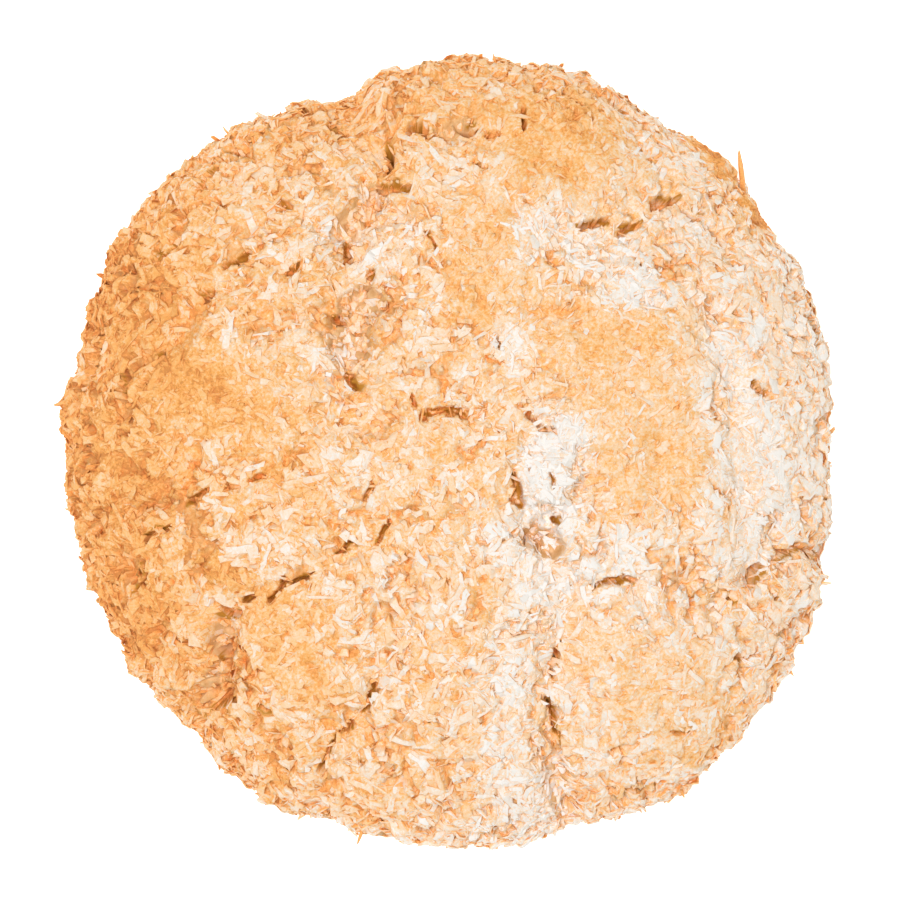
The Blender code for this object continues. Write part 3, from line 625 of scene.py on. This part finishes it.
def shred_middles(draw, kind, centres, axes, lengths, t):
    """Points along the middle of each shred, which bends and follows the crust."""
    half = lengths[:, None] / 2
    middle = centres[:, None] + (half * t)[..., None] * axes[0][:, None]
    on_crust, out = (found.reshape(middle.shape) for found in crust_near(middle.reshape(-1, 3)))
    middle += kind.hug * (on_crust - middle)
    lifts = between(draw, kind.lift, kind.count) * (1 - FLUSH_SINK * smoothness(centres))
    middle += (lifts[:, None] - kind.melt * kind.thickness * t**4)[..., None] * out
    for bend, axis in ((kind.arch, axes[2]), (kind.sway, axes[1])):
        bow = draw.normal(0, bend, kind.count)[:, None] * (1 - t**2) * half
        middle += bow[..., None] * axis[:, None]
    return middle


def shred_sections(draw, kind, lengths, widths, t):
    """Half the width and thickness of each shred at its stations, and how far they slant."""
    ends = between(draw, kind.ends, (kind.count, 2))
    share = 1 - np.where(t < 0, 1 - ends[:, :1], 1 - ends[:, 1:]) * t**2
    share *= draw.uniform(*WIDTH_STRAY, share.shape)
    thickness = kind.thickness * draw.uniform(*THICKNESS_STRAY, kind.count)[:, None]
    most_slant = MOST_SLANT * (lengths / widths)[:, None]
    slant = np.clip(draw.normal(0, END_SLANT, (kind.count, 2)), -most_slant, most_slant)
    slant = np.where(t < 0, slant[:, :1], slant[:, 1:]) * np.abs(t)
    return widths[:, None] / 2 * share, thickness / 2 * (1 + share) / 2, slant


def shred_tone(draw, kind, centres):
    """Toast, a number of its own for each shred, and the place across it, at each corner."""
    own = own_toast(draw, centres, *kind.toast)[:, None, None]
    # The underside and foot take the dough's toast with painted shade added.
    shaded_under = dough_toast(centres)[:, None, None] + EDGE_TOAST_AND_SHADE
    bottom = np.array([up < 0 for _, up in SECTION])
    at_end = np.isin(np.arange(kind.stations), (0, kind.stations - 1))
    sunk = np.maximum(bottom, kind.melt * at_end[:, None])
    tone = np.empty((kind.count, kind.stations, len(SECTION), 3))
    tone[..., 0] = own + sunk * (shaded_under - own)
    tone[..., 1] = draw.random(kind.count)[:, None, None]
    tone[..., 2] = [(1 + across) / 2 for across, _ in SECTION]
    return tone


def make_shreds(name, material, kind):
    """Shreds of coconut on the crust, as one piece."""
    draw = np.random.default_rng(kind.seed)
    angle, share = random_places(draw, kind.count, kind.where)
    centres, out = crust_points(angle, share)
    axes = turned_frames(draw, angle, out, kind.tilt, kind.roll)
    shrunk = 1 - FLUSH_SHRINK * smoothness(centres)
    lengths = between(draw, kind.length, kind.count, LENGTH_LEAN) * shrunk
    widths = between(draw, kind.width, kind.count, WIDTH_LEAN) * shrunk
    t = np.linspace(-1, 1, kind.stations)
    t = np.sign(t) * np.abs(t) ** (1 - MELT_SPREAD * kind.melt)
    middle = shred_middles(draw, kind, centres, axes, lengths, t)
    half_width, half_thick, slant = shred_sections(draw, kind, lengths, widths, t)
    gap = lengths / (kind.stations - 1)
    points = strip_skins(draw, middle, axes, half_width, half_thick, slant, gap, SHRED_TOP)
    points[..., 2] = np.maximum(points[..., 2], LOWEST)
    deepest = cracks(middle.reshape(-1, 3)).reshape(kind.count, kind.stations).max(axis=1)
    kept = (deepest < BRIDGED_DEPTH) | (draw.random(kind.count) < kind.bridging)
    tone = shred_tone(draw, kind, centres)
    return make_piece(name, points[kept], strip_faces(kept.sum(), kind.stations), material, tone[kept])


# Single shreds that stand out from the rim: the place where each starts in the crust, its tip, its width.
STICKS = [
    ((32.6, 28.9), (32.2, 33.0), 0.62), ((5.7, 41.6), (5.2, 43.8), 0.35), ((-9.1, -41.2), (-9.7, -43), 0.35),
    ((25.6, -36.6), (26.2, -37.9), 0.35), ((-41.4, 5.6), (-43, 5.2), 0.5),
]
STICK_SEED = 10
STICK_HEIGHT = 4.2  # over the base
STICK_TOAST = 1.0
STICK_TAPER = (1, 1, 0.85, 0.45)  # share of its width at each station
STICK_TOP = 0.6


def make_sticks(name, material):
    """Browned shreds that stand out level from the rim, as one piece."""
    draw = np.random.default_rng(STICK_SEED)
    starts, tips, widths = (np.array(column, float) for column in zip(*STICKS))
    half_width = np.outer(widths / 2, STICK_TAPER)
    count, stations = half_width.shape
    middle = np.full((count, stations, 3), STICK_HEIGHT)
    middle[..., :2] = np.linspace(starts, tips, stations, axis=1)
    length = np.linalg.norm(tips - starts, axis=1)
    long_axis = np.column_stack([(tips - starts) / length[:, None], np.zeros(count)])
    thick_axis = np.tile([0, 0, 1], (count, 1))
    axes = (long_axis, np.cross(thick_axis, long_axis), thick_axis)
    level, gap = np.zeros(half_width.shape), length / (stations - 1)
    points = strip_skins(draw, middle, axes, half_width, half_width / 2, level, gap, STICK_TOP)
    tone = np.full(points.shape, STICK_TOAST)
    return make_piece(name, points, strip_faces(count, stations), material, tone)


def ball():
    """Corner points and triangles of a ball of radius 1."""
    mesh = bmesh.new()
    bmesh.ops.create_icosphere(mesh, subdivisions=1, radius=1)
    corners = np.array([corner.co[:] for corner in mesh.verts])
    triangles = np.array([[corner.index for corner in face.verts] for face in mesh.faces])
    mesh.free()
    return corners, triangles


CRUMB_TURN = 0.25  # how far a crumb tilts and rolls
CRUMB_LEAN = 1.6  # how much commoner small crumbs are
CRUMB_WIDTH = (0.5, 0.95)  # as a share of its length
KNOB_WAVES, KNOB_STARTS = 2.2, 6
KNOB_RISE = 0.25  # as a share of the crumb's size
KNOB_STRAY = 0.5  # of each corner, as a share of that
CRUMB_FOOT = (0.1, 0.7)  # the shares of its height over which the dough's colour turns to its own


def make_crumbs(name, material, where, seed, count, length, flatness, lift, toast_change, melt):
    """Soft crumbs half sunk in the crust, as one piece."""
    draw = np.random.default_rng(seed)
    angle, share = random_places(draw, count, where)
    centres, out = crust_points(angle, share)
    axes = np.stack(turned_frames(draw, angle, out, CRUMB_TURN, CRUMB_TURN), 1)
    corners, triangles = ball()
    lengths = between(draw, length, count, CRUMB_LEAN)
    shares = [np.ones(count), draw.uniform(*CRUMB_WIDTH, count), draw.uniform(*flatness, count)]
    half_sizes = lengths[:, None] / 2 * np.stack(shares, -1)
    waves = KNOB_WAVES * corners @ draw.normal(0, 1, (count, 3, 2))
    knobs = np.sin(waves + draw.uniform(0, KNOB_STARTS, (count, 1, 2))).mean(axis=2)
    knobs += draw.uniform(-KNOB_STRAY, KNOB_STRAY, knobs.shape)
    local = corners * half_sizes[:, None] * (1 + KNOB_RISE * knobs)[..., None]
    lifted = centres + out * (between(draw, lift, count) * lengths)[:, None]
    points = lifted[:, None] + np.einsum("nvk,nkd->nvd", local, axes)
    points[..., 2] = np.maximum(points[..., 2], LOWEST)
    own = own_toast(draw, centres, *toast_change)[:, None]
    sunk = melt * (1 - smoothstep(*CRUMB_FOOT, corners[:, 2]))[None, :]
    tone = np.zeros(points.shape)
    # The foot takes the dough's toast with half of a shred's painted shade.
    tone[..., 0] = own + sunk * (dough_toast(centres)[:, None] + EDGE_TOAST_AND_SHADE / 2 - own)
    tone[..., 1] = draw.random(count)[:, None]
    tone[..., 2] = corners[:, 1]
    faces = (np.arange(count)[:, None, None] * len(corners) + triangles).reshape(-1, 3).tolist()
    return make_piece(name, points, faces, material, tone, smooth=True)


# Where the coconut lies. Pairs are the depths, heights, noise or way out between which it begins or ends.
CRACK_BARES = (0.5, 1.2)
PIT_BARES = (0.1, 0.5)
LEAST_IN_PITS = 0.35  # share of the melted coconut that even these hold
SMOOTH_BARES = 0.9  # share of the loose coconut that smooth places lack
PATCHES, PATCH_SHIFT = 3.5, 300  # wavelength of the places with more and less of it
PATCH_EDGES = (-0.4, 0.4)
LEAST_LOOSE = 0.3  # share of it in the thinnest patches
WIDE_HOLDS = (0.4, 1.0)
PALE_GAIN = 2  # how soon a pale place is full of white shreds
SIDE_TOP = (9, 15)
RING_FOOT, RING_TOP = (0.5, 2), (4.5, 8)
RIGHT_RIM, RIGHT_RIM_LEAN = (28, 34), 0.2


def out_of_cracks(points):
    return 1 - smoothstep(*CRACK_BARES, cracks(points))


def out_of_pits(points):
    return out_of_cracks(points) * (1 - smoothstep(*PIT_BARES, pits(points)))


def mostly_out_of_pits(points):
    return LEAST_IN_PITS + (1 - LEAST_IN_PITS) * out_of_pits(points)


def off_smooth(points):
    return 1 - SMOOTH_BARES * smoothness(points)


def in_loose_patches(points):
    patch = smoothstep(*PATCH_EDGES, soft_noise(points + PATCH_SHIFT, PATCHES))
    return off_smooth(points) * (LEAST_LOOSE + (1 - LEAST_LOOSE) * patch) * out_of_pits(points)


def in_wide_cracks(points):
    return smoothstep(*WIDE_HOLDS, cracks(points, WIDE_CRACK))


def in_pale_places(points):
    return np.clip(paleness(points) * PALE_GAIN, 0, 1) * out_of_cracks(points)


def on_the_side(points):
    return (1 - smoothstep(*SIDE_TOP, points[:, 2])) * off_smooth(points)


def at_the_widest_ring(points):
    height = points[:, 2]
    return smoothstep(*RING_FOOT, height) * (1 - smoothstep(*RING_TOP, height)) * off_smooth(points)


def on_the_right_rim(points):
    outward = points[:, 0] - RIGHT_RIM_LEAN * points[:, 1]
    return smoothstep(*RIGHT_RIM, outward) * out_of_pits(points) * off_smooth(points)


# The kinds of shreds: where they lie, seed, count, limits of length and width, thickness, limits of height
# over the crust, and how their toast differs from the place's and how unevenly.
SHREDS = {
    "fibres": dict(
        where=out_of_pits, seed=6, count=4500, length=(0.8, 2.6), width=(0.14, 0.32), thickness=0.12,
        lift=(-0.02, 0.06), toast=(-0.14, 0.1), stations=3, melt=0.6, hug=0.97, arch=0.05),
    "melted_shreds": dict(
        where=mostly_out_of_pits, seed=1, count=4600, length=(0.9, 2.8), width=(0.4, 1.2), thickness=0.15,
        lift=(-0.05, 0), toast=(-0.06, 0.13), stations=5, melt=0.7, hug=1, tilt=0.04, roll=0.1, arch=0.03,
        sway=0.06, ends=(0.6, 1.1)),
    "loose_shreds": dict(
        where=in_loose_patches, seed=2, count=3200, length=(1.2, 3.4), width=(0.35, 0.9), thickness=0.13,
        lift=(-0.04, 0.05), toast=(-0.22, 0.09), stations=5, melt=0.2, hug=0.92, tilt=0.08, arch=0.04,
        sway=0.06, ends=(0.7, 1.15)),
    "fallen_shreds": dict(
        where=in_wide_cracks, seed=7, count=240, length=(0.8, 2.2), width=(0.4, 1.1), thickness=0.16,
        lift=(-0.04, 0.08), toast=(-0.2, 0.08), stations=5, melt=0.4, hug=0.95, arch=0.05, sway=0.06,
        bridging=1),
    "white_shreds": dict(
        where=in_pale_places, seed=3, count=2600, length=(0.9, 2.8), width=(0.25, 0.65), thickness=0.11,
        lift=(-0.04, 0.07), toast=(-0.12, 0.06), melt=0.35, hug=0.92, tilt=0.1, arch=0.08, sway=0.2),
    "rim_shreds": dict(
        where=on_the_side, seed=9, count=1100, length=(1.2, 3), width=(0.4, 1), thickness=0.18,
        lift=(-0.05, 0.1), toast=(-0.12, 0.07), melt=0.3, hug=0.8, tilt=0.25),
    "chips": dict(
        where=in_loose_patches, seed=4, count=600, length=(1.4, 3), width=(0.9, 1.8), thickness=0.14,
        lift=(-0.04, 0.04), toast=(-0.24, 0.07), stations=5, melt=0.2, hug=0.94, tilt=0.08, arch=0.03,
        sway=0.05, ends=(0.7, 1.15)),
    "rim_chips": dict(
        where=on_the_right_rim, seed=8, count=130, length=(1.8, 3.4), width=(1.1, 1.9), thickness=0.22,
        lift=(-0.02, 0.12), toast=(-0.06, 0.08), stations=5, melt=0.2, hug=0.92, tilt=0.1, arch=0.04,
        sway=0.04, ends=(0.5, 1)),
    "rim_tufts": dict(
        where=at_the_widest_ring, seed=11, count=420, length=(1, 2.4), width=(0.3, 0.7), thickness=0.16,
        lift=(-0.1, 0.2), toast=(-0.14, 0.08), melt=0.2, hug=0.2, tilt=0.8, roll=0.5),
}
# What a kind has unless it says otherwise: stations along a shred, how far its ends and edges melt into the
# dough, how closely it follows the crust, how far it tilts, rolls and bends up and sideways, the share of its
# width that its ends keep, and the share that stays of the shreds which would lie across a crack.
USUAL = dict(
    stations=4, melt=0, hug=0.9, tilt=0.12, roll=0.2, arch=0.12, sway=0.12, ends=(0.55, 1), bridging=0.25)


def linear(colour):
    """A colour given as the eye sees it, from 0 to 255, as Blender's linear colour."""
    c = np.array(colour) / 255
    return tuple(np.where(c <= 0.04045, c / 12.92, ((c + 0.055) / 1.055) ** 2.4)) + (1.0,)


# Colours from raw to burnt, by toast.
TOAST_COLOURS = [
    (0.00, (243, 238, 236)), (0.12, (245, 231, 220)), (0.25, (246, 222, 200)), (0.40, (247, 211, 174)),
    (0.55, (247, 200, 148)), (0.70, (247, 187, 118)), (0.84, (244, 172, 96)), (1.00, (236, 160, 84)),
    (1.20, (220, 148, 82)),
]
TOAST_RANGE = 1.25  # toast at the end of the ramp
# The inside of the dough, bare in the widest cracks.
TORN_DOUGH = [(0.30, (208, 157, 101)), (0.50, (228, 181, 128)), (0.70, (241, 203, 157))]
CREVICE_SHADE = (190, 130, 48)  # painted shade: a dark brown at the bottom of the narrow cracks
OCCLUSION_SHADE_REACH = 1.2  # how far off coconut and dough still close in on a spot, for the painted shade
OCCLUSION_SHADE = 0.55  # painted shade: toast added at the bottom of a gap, where light comes by way of warm coconut
OCCLUSION_SHADE_SAMPLES = 4

# Speckles: how strong they are, and the scale, detail and roughness of their noise.
COCONUT_SPECKLES = [(0.4, 1100, 2.0, 0.5), (1.3, 3600, 4.0, 0.8)]
DOUGH_SPECKLES = [(1.0, 1500, 2.0, 0.5), (1.9, 3400, 3.0, 0.65)]
TORN_NOISE = (900, 4.0, 0.7)
STREAK = (0.16, 1.0, 2.0, 0.6)
STREAKS_ACROSS = 3.0  # how far apart the edges of a shred are in the noise of its streaks
STREAKS_APART = 97.0  # and how far apart two shreds can be


class Nodes:
    """A material's nodes, with short ways to add and join them."""

    def __init__(self, name):
        self.material = bpy.data.materials.new(name)
        self.material.use_nodes = True
        self.tree = self.material.node_tree
        self.shader = self.tree.nodes["Principled BSDF"]

    def add(self, kind, inputs=(), **settings):
        node = self.tree.nodes.new(kind)
        for key, value in settings.items():
            setattr(node, key, value)
        self.set(node, inputs)
        return node

    def set(self, node, inputs):
        """A socket takes another node's output, or a plain value."""
        for socket, value in dict(inputs).items():
            if isinstance(value, bpy.types.NodeSocket):
                self.tree.links.new(value, node.inputs[socket])
            else:
                node.inputs[socket].default_value = value

    def math(self, operation, first, second):
        return self.add("ShaderNodeMath", {0: first, 1: second}, operation=operation).outputs[0]

    def mix(self, share, first, second):
        """A colour between two."""
        node = self.add("ShaderNodeMixRGB", {"Fac": share, "Color1": first, "Color2": second})
        return node.outputs["Color"]

    def noise(self, scale, detail=2.0, roughness=0.5, vector=None):
        vector = vector or self.add("ShaderNodeTexCoord").outputs["Object"]
        inputs = {"Vector": vector, "Scale": scale, "Detail": detail, "Roughness": roughness}
        return self.add("ShaderNodeTexNoise", inputs).outputs["Fac"]

    def speckle(self, level, strength, *pattern):
        """A level with noise of this strength and pattern round it."""
        off_level = self.math("SUBTRACT", self.noise(*pattern), 0.5)
        return self.math("ADD", level, self.math("MULTIPLY", off_level, strength))

    def tone(self):
        """The three numbers that each point has."""
        colour = self.add("ShaderNodeVertexColor", layer_name="tone").outputs["Color"]
        return self.add("ShaderNodeSeparateColor", {"Color": colour}).outputs

    def painted_occlusion_shade(self, level):
        """Painted shade: more toast the more that crumbs and shreds close in on a spot."""
        reach = {"Distance": OCCLUSION_SHADE_REACH * MM}
        node = self.add("ShaderNodeAmbientOcclusion", reach, samples=OCCLUSION_SHADE_SAMPLES)
        occluded = self.math("SUBTRACT", 1.0, node.outputs["AO"])
        return self.math("ADD", level, self.math("MULTIPLY", occluded, OCCLUSION_SHADE))

    def ramp(self, value, stops):
        node = self.add("ShaderNodeValToRGB", {"Fac": value})
        elements = node.color_ramp.elements
        while len(elements) < len(stops):
            elements.new(0.5)
        for element, (position, colour) in zip(elements, stops):
            element.position = position
            element.color = linear(colour)
        return node.outputs["Color"]

    def toasted(self, level):
        """The colour of coconut or dough at this level of toast."""
        return self.ramp(self.math("DIVIDE", level, TOAST_RANGE), TOAST_COLOURS)

    def rough_surface(self, roughness, noise_scale, bump, bump_depth, bump_noise):
        """Roughness that varies between two limits, and fine bumps."""
        low, high = roughness
        added = self.math("MULTIPLY", self.noise(noise_scale), high - low)
        height = self.noise(*bump_noise)
        node = self.add("ShaderNodeBump", {"Strength": bump, "Distance": bump_depth * MM, "Height": height})
        return {"Roughness": self.math("ADD", low, added), "Normal": node.outputs["Normal"]}


def coconut_material():
    """Coconut: soft and waxy, with faint streaks along each shred, and painted shade where it is closed in.
    """
    nodes = Nodes("coconut")
    tone = nodes.tone()
    across = nodes.math("MULTIPLY", tone["Blue"], STREAKS_ACROSS)
    place = nodes.math("ADD", across, nodes.math("MULTIPLY", tone["Green"], STREAKS_APART))
    vector = nodes.add("ShaderNodeCombineXYZ", {"X": place}).outputs["Vector"]
    level = nodes.speckle(nodes.painted_occlusion_shade(tone["Red"]), *STREAK, vector)
    for speckle in COCONUT_SPECKLES:
        level = nodes.speckle(level, *speckle)
    surface = nodes.rough_surface(roughness=(0.5, 0.8), noise_scale=3000, bump=0.15, bump_depth=0.04,
                                  bump_noise=(4500, 3.0))
    looks = {"Base Color": nodes.toasted(level), "Specular IOR Level": 0.25}
    nodes.set(nodes.shader, looks | surface)
    return nodes.material


def dough_material():
    """Baked dough: fine pale and brown grains, a paler inside where it tore, and painted shade in gaps and
    cracks.
    """
    nodes = Nodes("dough")
    tone = nodes.tone()
    level = nodes.painted_occlusion_shade(tone["Red"])
    for speckle in DOUGH_SPECKLES:
        level = nodes.speckle(level, *speckle)
    torn = nodes.ramp(nodes.noise(*TORN_NOISE), TORN_DOUGH)
    bare = nodes.mix(tone["Green"], nodes.toasted(level), torn)
    surface = nodes.rough_surface(roughness=(0.6, 0.9), noise_scale=2500, bump=0.25, bump_depth=0.08,
                                  bump_noise=(2400, 5.0, 0.65))
    looks = {"Base Color": nodes.mix(tone["Blue"], bare, linear(CREVICE_SHADE)), "Specular IOR Level": 0.2,
             "Subsurface Weight": 0.15, "Subsurface Radius": (1.0, 0.9, 0.8), "Subsurface Scale": 0.2 * MM}
    nodes.set(nodes.shader, looks | surface)
    return nodes.material


FLOOR_SIDE = 6.0  # metres
FLOOR_GAP = 0.02  # keeps the floor clear of the underside


def make_floor():
    nodes = Nodes("floor")
    looks = {"Base Color": (0.93, 0.93, 0.94, 1), "Roughness": 0.9, "Specular IOR Level": 0.0,
             "Emission Color": (1, 1, 1, 1), "Emission Strength": 0.75}
    nodes.set(nodes.shader, looks)
    bpy.ops.mesh.primitive_plane_add(size=FLOOR_SIDE, location=(0, 0, -FLOOR_GAP * MM))
    floor = bpy.context.object
    floor.name = "floor"
    floor.data.materials.append(nodes.material)


def make_camera():
    """Looks straight down, with the photograph's scale at the height of the widest ring."""
    data = bpy.data.cameras.new("camera")
    data.sensor_width = SENSOR
    data.lens = SENSOR * (CAMERA_HEIGHT - WAIST_HEIGHT) / (PHOTO_SIDE * PHOTO_PIXEL)
    camera = bpy.data.objects.new("camera", data)
    x = (PHOTO_SIDE / 2 - PHOTO_CENTRE[0]) * PHOTO_PIXEL
    y = (PHOTO_CENTRE[1] - PHOTO_SIDE / 2) * PHOTO_PIXEL
    camera.location = Vector((x, y, CAMERA_HEIGHT)) * MM
    bpy.context.scene.collection.objects.link(camera)
    bpy.context.scene.camera = camera


# Lights that face the cookie: place in metres, power in watts, colour.
LIGHTS = {
    "key": ((-0.2, -0.03, 1.2), 9.9, (0.905, 0.955, 1.05)),
    "fill": ((0.14, 0.05, 1.2), 3.4, (0.96, 0.935, 0.9)),
}
LIGHT_SIZE = 0.5
SKY_COLOUR = (1.0, 0.92, 0.55, 1)
SKY_STRENGTH = 0.27


def make_lights():
    for name, (place, power, colour) in LIGHTS.items():
        data = bpy.data.lights.new(name, "AREA")
        data.shape = "DISK"
        data.size = LIGHT_SIZE
        data.energy = power
        data.color = colour
        light = bpy.data.objects.new(name, data)
        light.location = place
        light.rotation_euler = (-Vector(place)).to_track_quat("-Z", "Y").to_euler()
        bpy.context.scene.collection.objects.link(light)
    world = bpy.data.worlds.new("world")
    world.use_nodes = True
    background = world.node_tree.nodes["Background"]
    background.inputs["Color"].default_value = SKY_COLOUR
    background.inputs["Strength"].default_value = SKY_STRENGTH
    bpy.context.scene.world = world
    bpy.context.scene.view_settings.view_transform = "Standard"
    bpy.context.scene.view_settings.look = "None"


def main():
    coconut = coconut_material()
    make_dough(dough_material())
    make_crumbs("crumbs", coconut, where=out_of_cracks, seed=5, count=1600, length=(0.35, 0.9),
                flatness=(0.25, 0.45), lift=(-0.12, 0.04), toast_change=(-0.06, 0.1), melt=0.7)
    for name, settings in SHREDS.items():
        make_shreds(name, coconut, SimpleNamespace(**(USUAL | settings)))
    make_sticks("sticks", coconut)
    make_floor()
    make_camera()
    make_lights()


main()
